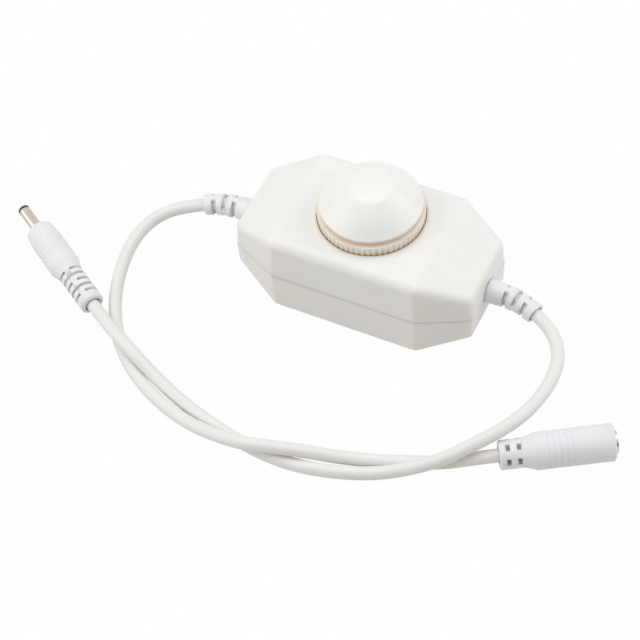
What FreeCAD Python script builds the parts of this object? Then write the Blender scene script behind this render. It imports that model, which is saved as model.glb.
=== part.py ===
"""Rotary cord dimmer: an octagonal two-part case with a sunk knob, two leads, a plug and a jack."""
import FreeCAD, Part
import math
import os

import Sketcher
from FreeCAD import Placement, Rotation, Vector

doc = FreeCAD.newDocument("cord_dimmer")
sheet = doc.addObject("Spreadsheet::Sheet", "sizes")

X_AXIS = Vector(1, 0, 0)
Y_AXIS = Vector(0, 1, 0)
Z_AXIS = Vector(0, 0, 1)
STEEP = 0.3

# How far a plan corner moves along its side when the walls move in by one
FLAT_PULL = 0.25
END_PULL = 0.6
ORIGIN = Vector(0, 0, 0)


class Size:
    """A cell of the sheet, or a formula of such cells, with its present value."""

    def __init__(self, formula, value):
        self.formula = formula
        self.value = value

    def __add__(self, other):
        other = as_size(other)
        return Size(f"({self.formula} + {other.formula})", self.value + other.value)

    def __sub__(self, other):
        other = as_size(other)
        return Size(f"({self.formula} - {other.formula})", self.value - other.value)

    def __mul__(self, other):
        other = as_size(other)
        return Size(f"({self.formula} * {other.formula})", self.value * other.value)

    def __truediv__(self, other):
        other = as_size(other)
        return Size(f"({self.formula} / {other.formula})", self.value / other.value)

    def __neg__(self):
        return Size(f"(0 - {self.formula})", -self.value)


def as_size(number):
    """Return a plain number as a Size, and a Size as it is."""
    if isinstance(number, Size):
        return number
    return Size(repr(float(number)), float(number))


def cell(alias, number):
    """Put a driving dimension in the sheet's next row."""
    row = cell.row
    cell.row += 1
    sheet.set(f"A{row}", alias)
    sheet.set(f"B{row}", str(number))
    sheet.setAlias(f"B{row}", alias)
    return Size(f"sizes.{alias}", float(number))


cell.row = 1

# Case: lengths are at the parting plane, which lies half way up
case_length = cell("case_length", 75.0)
case_width = cell("case_width", 39.4)
case_height = cell("case_height", 28.6)
flat_length = cell("flat_length", 44.8)
end_width = cell("end_width", 24.8)
end_drop = cell("end_drop", 6.1)
wall = cell("wall", 2.0)
wall_draft = cell("wall_draft", 2.0)
crease_radius = cell("crease_radius", 6.0)
top_edge_radius = cell("top_edge_radius", 3.0)
bottom_edge_radius = cell("bottom_edge_radius", 1.8)
parting_break = cell("parting_break", 0.15)

# Well that the knob is sunk in; its axis is set back from the middle of the case
knob_y = cell("knob_y", 2.3)
opening_radius = cell("opening_radius", 15.9)
well_depth = cell("well_depth", 6.2)
well_wall = cell("well_wall", 1.4)
well_floor = cell("well_floor", 1.8)

# Case screws, driven from below
boss_x = cell("boss_x", 21.2)
boss_y = cell("boss_y", 14.4)
boss_radius = cell("boss_radius", 3.3)
screw_radius = cell("screw_radius", 1.2)
screw_length = cell("screw_length", 17.0)
screw_head_radius = cell("screw_head_radius", 2.1)
screw_head_height = cell("screw_head_height", 1.4)
screw_recess = cell("screw_recess", 4.0)
screw_clearance = cell("screw_clearance", 0.15)
thread_clearance = cell("thread_clearance", 0.03)

# Knob
knob_gap = cell("knob_gap", 0.7)
knob_drop = cell("knob_drop", 4.4)
skirt_rise = cell("skirt_rise", 2.8)
ledge_width = cell("ledge_width", 1.3)
ledge_slope = cell("ledge_slope", 0.2)
lip_inset = cell("lip_inset", 0.6)
cove_height = cell("cove_height", 2.75)
cove_radius = cell("cove_radius", 1.6)
lip_edge = cell("lip_edge", 0.7)
knob_rise = cell("knob_rise", 12.6)
cap_radius = cell("cap_radius", 6.2)
dome_radius = cell("dome_radius", 30.0)
lip_round = cell("lip_round", 0.9)
cap_crown = cell("cap_crown", 0.4)
cap_edge_radius = cell("cap_edge_radius", 8.0)
knob_wall = cell("knob_wall", 1.9)
rib_count = cell("rib_count", 60)
rib_depth = cell("rib_depth", 0.45)
rib_gap = cell("rib_gap", 0.75)
hub_radius = cell("hub_radius", 5.0)
hub_clearance = cell("hub_clearance", 0.04)

# Potentiometer
shaft_radius = cell("shaft_radius", 3.0)
shaft_flat = cell("shaft_flat", 1.5)
shaft_clearance = cell("shaft_clearance", 0.05)
shaft_top_gap = cell("shaft_top_gap", 0.6)
bushing_radius = cell("bushing_radius", 3.5)
bushing_length = cell("bushing_length", 6.4)
bushing_clearance = cell("bushing_clearance", 0.1)
bushing_end_gap = cell("bushing_end_gap", 0.4)
plate_thickness = cell("plate_thickness", 1.2)
can_radius = cell("can_radius", 8.2)
can_height = cell("can_height", 6.4)
can_wall = cell("can_wall", 0.6)
wafer_thickness = cell("wafer_thickness", 1.4)
wiper_thickness = cell("wiper_thickness", 1.2)
wiper_gap = cell("wiper_gap", 0.4)
washer_radius = cell("washer_radius", 6.0)
washer_thickness = cell("washer_thickness", 0.6)
nut_circle = cell("nut_circle", 5.7)
nut_height = cell("nut_height", 2.0)
terminal_width = cell("terminal_width", 1.2)
terminal_thickness = cell("terminal_thickness", 0.5)
terminal_pitch = cell("terminal_pitch", 5.0)
terminal_reach = cell("terminal_reach", 1.6)

# Circuit board and what it carries
board_length = cell("board_length", 50.0)
board_width = cell("board_width", 21.0)
board_thickness = cell("board_thickness", 1.6)
standoff_height = cell("standoff_height", 3.2)
standoff_radius = cell("standoff_radius", 2.4)
board_screw_x = cell("board_screw_x", 21.0)
board_screw_y = cell("board_screw_y", 7.6)
board_screw_radius = cell("board_screw_radius", 1.0)
board_screw_length = cell("board_screw_length", 4.2)
board_head_radius = cell("board_head_radius", 1.9)
board_head_height = cell("board_head_height", 1.2)
transistor_length = cell("transistor_length", 6.2)
transistor_width = cell("transistor_width", 6.6)
transistor_height = cell("transistor_height", 2.3)
tab_thickness = cell("tab_thickness", 0.6)
tab_length = cell("tab_length", 3.0)
chip_length = cell("chip_length", 4.9)
chip_width = cell("chip_width", 3.9)
chip_height = cell("chip_height", 1.6)
capacitor_radius = cell("capacitor_radius", 3.5)
capacitor_height = cell("capacitor_height", 9.0)
diode_radius = cell("diode_radius", 1.3)
diode_length = cell("diode_length", 5.0)
resistor_length = cell("resistor_length", 3.2)
resistor_width = cell("resistor_width", 1.6)
resistor_height = cell("resistor_height", 0.6)
resistor_pitch = cell("resistor_pitch", 2.6)
part_gap = cell("part_gap", 0.8)
board_margin = cell("board_margin", 2.5)
wire_radius = cell("wire_radius", 0.7)
wire_spacing = cell("wire_spacing", 2.2)

# Leads and their strain reliefs
lead_radius = cell("lead_radius", 1.95)
lead_gap = cell("lead_gap", 0.45)
lead_out = cell("lead_out", 4.8)
lead_in = cell("lead_in", 6.0)
grommet_length = cell("grommet_length", 15.5)
grommet_base_radius = cell("grommet_base_radius", 3.6)
grommet_end_radius = cell("grommet_end_radius", 3.05)
grommet_neck_radius = cell("grommet_neck_radius", 2.6)
grommet_flange_radius = cell("grommet_flange_radius", 4.0)
grommet_flange_width = cell("grommet_flange_width", 1.4)
grommet_fit = cell("grommet_fit", 0.06)
grommet_slot_start = cell("grommet_slot_start", 5.9)
grommet_slot_pitch = cell("grommet_slot_pitch", 3.25)
grommet_slot_width = cell("grommet_slot_width", 1.4)
grommet_straight = cell("grommet_straight", 4.0)
relief_bend = cell("relief_bend", 24.0)
relief_tilt = cell("relief_tilt", 24.0)
slot_core = cell("slot_core", 2.15)
slot_bar = cell("slot_bar", 1.8)
recess_depth = cell("recess_depth", 0.8)
recess_gap = cell("recess_gap", 0.4)

# Grip rings and rounded tail ends of the plug and the jack
grip_ring_count = cell("grip_ring_count", 5)
grip_ring_pitch = cell("grip_ring_pitch", 1.7)
grip_ring_width = cell("grip_ring_width", 0.6)
grip_ring_depth = cell("grip_ring_depth", 0.14)
tail_bevel = cell("tail_bevel", 0.5)

# Plug
plug_x = cell("plug_x", -69.9)
plug_y = cell("plug_y", -43.2)
plug_turn = cell("plug_turn", 147.0)
plug_tail_length = cell("plug_tail_length", 14.2)
plug_tail_radius = cell("plug_tail_radius", 3.65)
plug_cone_length = cell("plug_cone_length", 3.2)
plug_body_length = cell("plug_body_length", 17.2)
plug_body_radius = cell("plug_body_radius", 4.7)
plug_grip_length = cell("plug_grip_length", 11.0)
plug_nose_radius = cell("plug_nose_radius", 4.3)
plug_nose_length = cell("plug_nose_length", 1.7)
plug_nose_round = cell("plug_nose_round", 2.1)
plug_face_radius = cell("plug_face_radius", 2.7)
plug_roll = cell("plug_roll", -20.0)
plug_slot_start = cell("plug_slot_start", 2.8)
plug_slot_pitch = cell("plug_slot_pitch", 2.45)
plug_slot_width = cell("plug_slot_width", 0.95)
barrel_radius = cell("barrel_radius", 1.75)
barrel_wall = cell("barrel_wall", 0.4)
barrel_length = cell("barrel_length", 9.5)
barrel_root = cell("barrel_root", 6.0)
root_step = cell("root_step", 0.2)
tip_length = cell("tip_length", 0.9)
contact_radius = cell("contact_radius", 0.95)
contact_bore = cell("contact_bore", 0.68)
metal_fit = cell("metal_fit", 0.02)
plug_ring_start = cell("plug_ring_start", 3.4)

# Jack
jack_x = cell("jack_x", 60.0)
jack_y = cell("jack_y", -46.2)
jack_turn = cell("jack_turn", 31.5)
jack_tail_length = cell("jack_tail_length", 7.0)
jack_tail_radius = cell("jack_tail_radius", 4.2)
jack_cone_length = cell("jack_cone_length", 3.4)
jack_body_length = cell("jack_body_length", 21.9)
jack_body_radius = cell("jack_body_radius", 5.35)
jack_nose_bevel = cell("jack_nose_bevel", 0.6)
jack_ring_start = cell("jack_ring_start", 3.1)
jack_slot_start = cell("jack_slot_start", 1.8)
jack_slot_pitch = cell("jack_slot_pitch", 3.1)
jack_slot_width = cell("jack_slot_width", 1.2)
jack_slot_half = cell("jack_slot_half", 1.0)
jack_window_count = cell("jack_window_count", 6)
jack_roll = cell("jack_roll", 10.0)
sleeve_radius = cell("sleeve_radius", 3.2)
sleeve_wall = cell("sleeve_wall", 0.5)
sleeve_stand = cell("sleeve_stand", 0.7)
socket_depth = cell("socket_depth", 11.0)
socket_radius = cell("socket_radius", 1.95)
socket_root = cell("socket_root", 3.0)
pin_radius = cell("pin_radius", 0.65)
pin_setback = cell("pin_setback", 1.0)

# Derived heights, from the underside up
parting_height = case_height / 2
well_floor_top = case_height - well_depth
well_floor_bottom = well_floor_top - well_floor
board_bottom = wall + standoff_height
board_top = board_bottom + board_thickness
plate_bottom = well_floor_bottom - plate_thickness
can_bottom = plate_bottom - can_height
wafer_bottom = can_bottom - wafer_thickness
wiper_bottom = can_bottom + wiper_gap
shaft_bottom = wiper_bottom + wiper_thickness
bushing_top = well_floor_bottom + bushing_length
knob_radius = opening_radius - knob_gap
knob_bottom = case_height - knob_drop
knob_top = case_height + knob_rise
hub_bottom = bushing_top + bushing_end_gap
knob_ceiling = knob_top - cap_crown - knob_wall
shaft_top = knob_ceiling - shaft_top_gap

nodes = {}


def bind(item, **formulas):
    """Tie properties of a document object to the sheet."""
    for name, size in formulas.items():
        item.setExpression(name, as_size(size).formula)
    return item


def place(item, x=0, y=0, z=0):
    """Tie an object's position to the sheet."""
    for letter, size in zip("xyz", (x, y, z)):
        item.setExpression(f"Placement.Base.{letter}", as_size(size).formula)
    return item


def node(item, name):
    """Name a finished piece, which is written to a file of that name."""
    item.Label = name
    nodes[name] = item
    return item


def cylinder(name, radius, height, x=0, y=0, z=0, axis=Z_AXIS):
    """Add a cylinder that starts at a point and runs along an axis."""
    item = doc.addObject("Part::Cylinder", name)
    item.Placement = Placement(ORIGIN, Rotation(Z_AXIS, axis))
    bind(item, Radius=radius, Height=height)
    return place(item, x, y, z)


def on_knob_axis(name, radius, height, z):
    """Add an upright cylinder about the axis that the knob turns on."""
    return cylinder(name, radius, height, 0, knob_y, z)


def box(name, length, width, height, x=0, y=0, z=0):
    """Add a box whose low corner is at a point."""
    item = doc.addObject("Part::Box", name)
    bind(item, Length=length, Width=width, Height=height)
    return place(item, x, y, z)


def centred_box(name, length, width, height, x=0, y=0, z=0):
    """Add a box that stands on a point, centred in x and y."""
    low_x = as_size(x) - as_size(length) / 2
    low_y = as_size(y) - as_size(width) / 2
    return box(name, length, width, height, low_x, low_y, z)


def cut(name, base, tool):
    """Add the cut of one object by another."""
    item = doc.addObject("Part::Cut", name)
    item.Base = base
    item.Tool = tool
    return item


def common(name, items):
    """Add what several objects share."""
    item = doc.addObject("Part::MultiCommon", name)
    item.Shapes = items
    return item


def join(name, items):
    """Add the union of several objects."""
    item = doc.addObject("Part::MultiFuse", name)
    item.Shapes = items
    return item


def group(name, items):
    """Add a group of separate solids that share one node."""
    item = doc.addObject("Part::Compound", name)
    item.Links = items
    return item


def plane_of(body, role):
    """Return one of a body's own origin planes."""
    return next(feature for feature in body.Origin.OriginFeatures if feature.Role == role)


def sketch_on(body, name, role):
    """Add an empty sketch on one of a body's origin planes."""
    sketch = body.newObject("Sketcher::SketchObject", name)
    sketch.AttachmentSupport = [(plane_of(body, role), "")]
    sketch.MapMode = "FlatFace"
    return sketch


def pin_vertex(sketch, line, x, y):
    """Hold a line's start at a place that comes from the sheet."""
    for kind, axis, size in (("DistanceX", -2, as_size(x)), ("DistanceY", -1, as_size(y))):
        if size.value == 0:
            sketch.addConstraint(Sketcher.Constraint("PointOnObject", line, 1, axis))
        else:
            index = sketch.addConstraint(Sketcher.Constraint(kind, -1, 1, line, 1, size.value))
            sketch.setExpression(f"Constraints[{index}]", size.formula)


def draw_outline(sketch, points, arcs=None):
    """Draw a closed outline; arcs gives a side's radius and its bulge, 1 to the right or -1 to the left."""
    arcs = arcs or {}
    first = sketch.GeometryCount
    places = [Vector(as_size(x).value, as_size(y).value, 0) for x, y in points]
    for side, start in enumerate(places):
        end = places[(side + 1) % len(places)]
        if side in arcs:
            radius, bulge = arcs[side]
            chord = end - start
            half = chord.Length / 2
            rise = radius.value - math.sqrt(radius.value ** 2 - half ** 2)
            middle = (start + end) / 2 + Vector(chord.y, -chord.x, 0).normalize() * (rise * bulge)
            order = (start, middle, end) if bulge > 0 else (end, middle, start)
            sketch.addGeometry(Part.Arc(*order), False)
        else:
            sketch.addGeometry(Part.LineSegment(start, end), False)
    ends = {}
    for side, (x, y) in enumerate(points):
        geometry = sketch.Geometry[first + side]
        forward = (geometry.StartPoint - places[side]).Length < 1e-6
        ends[side] = (1, 2) if forward else (2, 1)
    for side, (x, y) in enumerate(points):
        following = (side + 1) % len(points)
        sketch.addConstraint(Sketcher.Constraint("Coincident", first + side, ends[side][1],
                                                 first + following, ends[following][0]))
    for side, (x, y) in enumerate(points):
        if ends[side][0] == 1:
            pin_vertex(sketch, first + side, x, y)
        else:
            before = (side - 1) % len(points)
            pin_end(sketch, first + before, x, y)
    for side, (radius, bulge) in arcs.items():
        index = sketch.addConstraint(Sketcher.Constraint("Radius", first + side, radius.value))
        sketch.setExpression(f"Constraints[{index}]", radius.formula)


def pin_end(sketch, line, x, y):
    """Hold a line's end at a place that comes from the sheet."""
    for kind, axis, size in (("DistanceX", -2, as_size(x)), ("DistanceY", -1, as_size(y))):
        if size.value == 0:
            sketch.addConstraint(Sketcher.Constraint("PointOnObject", line, 2, axis))
        else:
            index = sketch.addConstraint(Sketcher.Constraint(kind, -1, 1, line, 2, size.value))
            sketch.setExpression(f"Constraints[{index}]", size.formula)


def turned_body(name, points, axis, arcs=None):
    """Add a body turned from an outline in the XZ plane, about the sketch's H_Axis or V_Axis."""
    body = doc.addObject("PartDesign::Body", name)
    sketch = sketch_on(body, f"{name}_outline", "XZ_Plane")
    draw_outline(sketch, points, arcs)
    turn = body.newObject("PartDesign::Revolution", f"{name}_turn")
    turn.Profile = sketch
    turn.ReferenceAxis = (sketch, [axis])
    turn.Angle = 360
    body.Tip = turn
    return body


def edges_where(shape, test):
    """Name the edges of a shape that pass a test."""
    return [f"Edge{number}" for number, edge in enumerate(shape.Edges, 1) if test(edge)]


def is_ring(edge, radius):
    """Tell whether an edge is a circle of a given radius."""
    if edge.Degenerated or not isinstance(edge.Curve, Part.Circle):
        return False
    return abs(edge.Curve.Radius - radius) < 1e-6


def half_block(name, inset, edge_radius):
    """Add a body for half of the case, from the parting plane up, inset all round by a wall."""
    half_length = case_length / 2 - inset
    half_width = case_width / 2 - inset
    half_flat = flat_length / 2 - inset * FLAT_PULL
    half_end = end_width / 2 - inset * END_PULL
    height = case_height / 2 - inset
    body = doc.addObject("PartDesign::Body", name)
    plan = sketch_on(body, f"{name}_plan", "XY_Plane")
    corners = [(half_flat, half_width), (half_length, half_end)]
    right = [(x, -y) for x, y in corners] + [(x, y) for x, y in reversed(corners)]
    left = [(-x, y) for x, y in corners] + [(-x, -y) for x, y in reversed(corners)]
    draw_outline(plan, right + left)
    pad = body.newObject("PartDesign::Pad", f"{name}_pad")
    pad.Profile = plan
    bind(pad, Length=height, TaperAngle=-wall_draft)
    doc.recompute()
    slopes = sketch_on(body, f"{name}_slopes", "XZ_Plane")
    run = case_length / 2 - flat_length / 2
    beyond = case_length / 2 + end_drop
    low = height - end_drop * (beyond - half_flat) / run
    for side in (1, -1):
        draw_outline(slopes, [(half_flat * side, height), (beyond * side, low), (beyond * side, height)])
    pocket = body.newObject("PartDesign::Pocket", f"{name}_end_slopes")
    pocket.Profile = slopes
    pocket.Type = "ThroughAll"
    pocket.Midplane = True
    body.Tip = pocket
    doc.recompute()
    if edge_radius is None:
        return body
    crease_round = body.newObject("PartDesign::Fillet", f"{name}_creases")
    crease_round.Base = (pocket, edges_of_kind(pocket.Shape, "crease"))
    bind(crease_round, Radius=crease_radius)
    body.Tip = crease_round
    doc.recompute()
    edge_round = body.newObject("PartDesign::Fillet", f"{name}_edges")
    edge_round.Base = (crease_round, edges_of_kind(crease_round.Shape, "upright", "rim"))
    bind(edge_round, Radius=edge_radius)
    body.Tip = edge_round
    doc.recompute()
    edge_break = body.newObject("PartDesign::Chamfer", f"{name}_parting")
    edge_break.Base = (edge_round, edges_of_kind(edge_round.Shape, "base"))
    bind(edge_break, Size=parting_break)
    body.Tip = edge_break
    doc.recompute()
    return body


def edge_kind(shape, edge):
    """Tell upright corners, the rim round the top, the creases of the top and other edges apart."""
    if max(vertex.Z for vertex in edge.Vertexes) < 1e-6:
        return "base"
    middle = edge.valueAt((edge.FirstParameter + edge.LastParameter) / 2)
    faces = shape.ancestorsOfType(edge, Part.Face)
    leans = sorted(abs(face.normalAt(*face.Surface.parameter(middle)).z) for face in faces)
    if leans[-1] < STEEP:
        return "upright"
    if leans[0] < STEEP:
        return "rim"
    across = abs(edge.Vertexes[0].X - edge.Vertexes[-1].X) < 1e-6
    return "crease" if across else "seam"


def edges_of_kind(shape, *kinds):
    """Name the edges of a case block that are of certain kinds."""
    return edges_where(shape, lambda edge: edge_kind(shape, edge) in kinds)


def finish():
    """Check every object and write each piece to its own file."""
    doc.recompute()
    for item in doc.Objects:
        if "Invalid" in item.State or "Error" in item.State:
            raise RuntimeError(f"{item.Label} failed: {item.State}")
    os.makedirs("parts", exist_ok=True)
    for name, item in nodes.items():
        shape = item.Shape
        if shape.isNull() or not shape.isValid():
            raise RuntimeError(f"{name} has no valid shape")
        shape.exportStep(f"parts/{name}.step")
        print(f"{name}: {len(shape.Solids)} solid(s), {shape.Volume:.1f} cubic mm")


def case_half(name, upper):
    """Add a hollow half of the case; the lower one is the same shape turned over."""
    turn = Rotation() if upper else Rotation(X_AXIS, 180)
    outside = half_block(f"{name}_outside", as_size(0), top_edge_radius if upper else bottom_edge_radius)
    inside = half_block(f"{name}_inside", wall, None)
    for body in (outside, inside):
        body.Placement = Placement(ORIGIN, turn)
        place(body, z=parting_height)
    return cut(f"{name}_shell", outside, inside)


def four_corners(make, x, y):
    """Make the same thing at the four corners of a rectangle about the middle."""
    return [make(number, x * side, y * end)
            for number, (side, end) in enumerate(((1, 1), (1, -1), (-1, 1), (-1, -1)), 1)]


def corner_posts(name, radius, height, z):
    """Add four upright cylinders where the case screws are."""
    return four_corners(lambda n, x, y: cylinder(f"{name}_{n}", radius, height, x, y, z), boss_x, boss_y)


def board_posts(name, radius, height, z):
    """Add four upright cylinders where the board's screws are."""
    return four_corners(lambda n, x, y: cylinder(f"{name}_{n}", radius, height, x, y, z),
                        board_screw_x, board_screw_y)


def grommet_notches(name):
    """Add the round notches that the necks of both strain reliefs sit in."""
    reach = case_length + wall * 2
    radius = grommet_neck_radius + grommet_fit
    return cylinder(name, radius, reach, -reach / 2, 0, parting_height, X_AXIS)


# Upper case: the shell, the well that the knob sits in and four screw bosses
boss_top = case_height - wall * 0.75
well_radius = opening_radius + well_wall
upper_shell = case_half("upper", True)
well_round = on_knob_axis("well_round", well_radius, boss_top - well_floor_bottom, well_floor_bottom)
well_outside = common("well_outside", [upper_shell.Tool, well_round])
upper_bosses = corner_posts("upper_boss", boss_radius, boss_top - parting_height, parting_height)
upper_solid = join("upper_solid", [upper_shell, well_outside] + upper_bosses)
screw_top = screw_recess + screw_length
pilot_depth = screw_top + wall / 2 - parting_height
bushing_hole = bushing_radius + bushing_clearance
upper_tools = [on_knob_axis("opening_tool", opening_radius, well_depth + 1, well_floor_top),
               on_knob_axis("bushing_hole_tool", bushing_hole, well_depth, well_floor_bottom - 1),
               grommet_notches("upper_notches")]
upper_tools += corner_posts("pilot", screw_radius + thread_clearance, pilot_depth, parting_height)
node(cut("upper_case_cut", upper_solid, join("upper_tools", upper_tools)), "upper_case")

# Lower case: the shell, screw bosses with recesses for the heads, and standoffs for the board
lower_shell = case_half("lower", False)
boss_bottom = wall * 0.75
lower_bosses = corner_posts("lower_boss", boss_radius, parting_height - boss_bottom, boss_bottom)
standoffs = board_posts("standoff", standoff_radius, board_bottom - boss_bottom, boss_bottom)
lower_solid = join("lower_solid", [lower_shell] + lower_bosses + standoffs)
lower_tools = [grommet_notches("lower_notches")]
lower_tools += corner_posts("recess", screw_head_radius + screw_clearance, screw_recess + 1, as_size(-1))
lower_tools += corner_posts("screw_hole", screw_radius + screw_clearance, parting_height, screw_recess)
lower_tools += board_posts("board_pilot", board_screw_radius + thread_clearance, board_screw_length,
                           board_top - board_screw_length)
node(cut("lower_case_cut", lower_solid, join("lower_tools", lower_tools)), "lower_case")


def case_screw(number, x, y):
    """Add one case screw, driven up from its recess."""
    head_z = screw_recess - screw_head_height
    head = cylinder(f"case_head_{number}", screw_head_radius, screw_head_height, x, y, head_z)
    shank = cylinder(f"case_shank_{number}", screw_radius, screw_length, x, y, screw_recess)
    drive = cylinder(f"case_drive_{number}", screw_radius * 0.8, screw_head_height * 0.6, x, y, head_z)
    return cut(f"case_screw_{number}", join(f"case_screw_solid_{number}", [head, shank]), drive)


def board_screw(number, x, y):
    """Add one screw that holds the board on its standoff."""
    head = cylinder(f"board_head_{number}", board_head_radius, board_head_height, x, y, board_top)
    length = board_screw_length - wall / 4
    shank = cylinder(f"board_shank_{number}", board_screw_radius, length, x, y, board_top - length)
    return join(f"board_screw_{number}", [head, shank])


node(group("case_screw_set", four_corners(case_screw, boss_x, boss_y)), "case_screws")
node(group("board_screw_set", four_corners(board_screw, board_screw_x, board_screw_y)), "board_screws")

# Knob: turned dome over a cove and a grooved skirt, on a hub with a flat for the shaft
lip_radius = knob_radius - lip_inset
skirt_top = case_height + skirt_rise
lip_height = skirt_top + cove_height
knob_outline = [
    (knob_radius, knob_bottom), (knob_radius, skirt_top),
    (knob_radius - ledge_width, skirt_top + ledge_slope),
    (lip_radius, lip_height - lip_edge), (lip_radius - lip_edge / 2, lip_height),
    (cap_radius, knob_top - cap_crown), (0, knob_top), (0, hub_bottom), (hub_radius, hub_bottom),
    (hub_radius, knob_ceiling), (lip_radius - knob_wall * 1.3, lip_height - knob_wall / 4),
    (knob_radius - knob_wall - ledge_width / 2, skirt_top - knob_wall / 2),
    (knob_radius - knob_wall, skirt_top - knob_wall), (knob_radius - knob_wall, knob_bottom)]
crown_radius = (cap_radius * cap_radius + cap_crown * cap_crown) / (cap_crown * 2)
knob_body = turned_body("knob_body", knob_outline, "V_Axis", {
    2: (cove_radius, -1), 3: (lip_round, 1), 4: (dome_radius, 1), 5: (crown_radius, 1)})
doc.recompute()
dome = knob_body.Tip
cap_edge = knob_body.newObject("PartDesign::Fillet", "cap_edge")
cap_edge.Base = (dome, edges_where(dome.Shape, lambda edge: is_ring(edge, cap_radius.value)))
bind(cap_edge, Radius=cap_edge_radius)
knob_body.Tip = cap_edge
doc.recompute()
groove = sketch_on(knob_body, "skirt_groove_outline", "XY_Plane")
groove_in = knob_radius - rib_depth
groove_out = knob_radius + rib_depth
draw_outline(groove, [(groove_in, -rib_gap / 3), (groove_out, -rib_gap),
                      (groove_out, rib_gap), (groove_in, rib_gap / 3)])
skirt_groove = knob_body.newObject("PartDesign::Pocket", "skirt_groove")
skirt_groove.Profile = groove
skirt_groove.Reversed = True
bind(skirt_groove, Length=skirt_top)
knob_body.Tip = skirt_groove
doc.recompute()
skirt_grooves = knob_body.newObject("PartDesign::PolarPattern", "skirt_grooves")
skirt_grooves.Originals = [skirt_groove]
skirt_grooves.Axis = (groove, ["N_Axis"])
skirt_grooves.Angle = 360
knob_body.Tip = skirt_grooves
bind(skirt_grooves, Occurrences=rib_count)
doc.recompute()


def shaft_section(name, clearance, bottom, top, flat_bottom):
    """Add a round bar with a flat on one side, as the shaft is, wider by a clearance."""
    radius = shaft_radius + clearance
    bar = on_knob_axis(f"{name}_bar", radius, top - bottom, bottom)
    flat = box(f"{name}_flat", radius * 2, radius, top - flat_bottom,
               -radius, knob_y + shaft_flat + clearance, flat_bottom)
    return cut(f"{name}_section", bar, flat)


place(knob_body, y=knob_y)
hub_bore = shaft_section("hub_bore", hub_clearance, hub_bottom - 1, knob_ceiling, hub_bottom - 1)
node(cut("knob_cut", knob_body, hub_bore), "knob")

# Potentiometer, hung from the floor of the well
flat_bottom = hub_bottom - bushing_end_gap / 2
node(shaft_section("shaft", as_size(0), shaft_bottom, shaft_top, flat_bottom), "pot_shaft")
node(on_knob_axis("wiper_disc", can_radius - can_wall * 2, wiper_thickness, wiper_bottom), "pot_wiper")
bushing_solid = join("bushing_solid", [
    on_knob_axis("bushing_plate", can_radius - can_wall, plate_thickness, plate_bottom),
    on_knob_axis("bushing_tube", bushing_radius, bushing_length, well_floor_bottom)])
bushing_bore = on_knob_axis("bushing_bore", shaft_radius + shaft_clearance, case_height, can_bottom)
node(cut("bushing", bushing_solid, bushing_bore), "pot_bushing")
can_tools = join("can_tools", [
    on_knob_axis("can_inside", can_radius - can_wall, can_height - can_wall, can_bottom),
    on_knob_axis("can_hole", shaft_radius + bushing_clearance, can_height + 1, can_bottom)])
node(cut("can", on_knob_axis("can_outside", can_radius, can_height, can_bottom), can_tools), "pot_can")
node(on_knob_axis("wafer", can_radius, wafer_thickness, wafer_bottom), "pot_track")
nut = doc.addObject("Part::Prism", "nut_hexagon")
bind(nut, Circumradius=nut_circle, Height=nut_height)
place(nut, y=knob_y, z=well_floor_top + washer_thickness)
nut_bore = on_knob_axis("nut_bore", bushing_radius + thread_clearance, case_height, well_floor_top)
node(cut("nut_cut", nut, nut_bore), "pot_nut")
washer_disc = on_knob_axis("washer_disc", washer_radius, washer_thickness, well_floor_top)
washer_bore = on_knob_axis("washer_bore", bushing_hole, case_height, well_floor_bottom)
node(cut("washer_cut", washer_disc, washer_bore), "pot_washer")


def terminal(number, x):
    """Add one terminal, from under the track's edge down to the board."""
    far = knob_y - can_radius - terminal_reach
    tab = box(f"terminal_tab_{number}", terminal_width, terminal_reach * 3, terminal_thickness,
              x - terminal_width / 2, far, wafer_bottom - terminal_thickness)
    leg = box(f"terminal_leg_{number}", terminal_width, terminal_thickness, wafer_bottom - board_top,
              x - terminal_width / 2, far, board_top)
    return join(f"terminal_{number}", [tab, leg])


node(group("terminal_set", [terminal(n, terminal_pitch * (n - 2)) for n in (1, 2, 3)]), "pot_terminals")

# Circuit board, with the parts that chop the lamp's current
board_sheet = centred_box("board_sheet", board_length, board_width, board_thickness, z=board_bottom)
board_holes = board_posts("board_hole", board_screw_radius + screw_clearance, board_thickness * 3,
                          board_bottom - board_thickness)
node(cut("board", board_sheet, join("board_holes", board_holes)), "circuit_board")
beside_pot = can_radius + part_gap
transistor_x = beside_pot
transistor_body = box("transistor_body", transistor_length, transistor_width, transistor_height,
                      transistor_x, -transistor_width / 2, board_top)
transistor_tab = box("transistor_tab", tab_length, transistor_width, tab_thickness,
                     transistor_x + transistor_length, -transistor_width / 2, board_top)
node(join("transistor_solid", [transistor_body, transistor_tab]), "transistor")
chip_y = board_width / 2 - board_margin - chip_width / 2
chip = centred_box("chip_body", chip_length, chip_width, chip_height, -chip_length, chip_y, board_top)
node(chip, "timer_chip")
capacitor_x = -beside_pot - capacitor_radius
capacitor = cylinder("capacitor_can", capacitor_radius, capacitor_height, capacitor_x, 0, board_top)
node(capacitor, "capacitor")
diode_x = beside_pot + diode_length / 2
diode_y = -transistor_width / 2 - part_gap - diode_radius
diode_stand = diode_radius + terminal_thickness
diode_z = board_top + diode_stand
diode_bar = cylinder("diode_bar", diode_radius, diode_length, beside_pot, diode_y, diode_z, X_AXIS)
diode_feet = [centred_box(f"diode_foot_{n}", terminal_thickness, terminal_width, diode_stand,
                          diode_x + diode_length * 0.4 * n, diode_y, board_top) for n in (-1, 1)]
node(join("diode_solid", [diode_bar] + diode_feet), "diode")
resistor_y = board_width / 2 - board_margin
node(group("resistor_set", [
    centred_box(f"resistor_{n}", resistor_width, resistor_length, resistor_height,
                resistor_pitch * (n + 1), resistor_y, board_top) for n in (1, 2, 3)]), "resistors")


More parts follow.
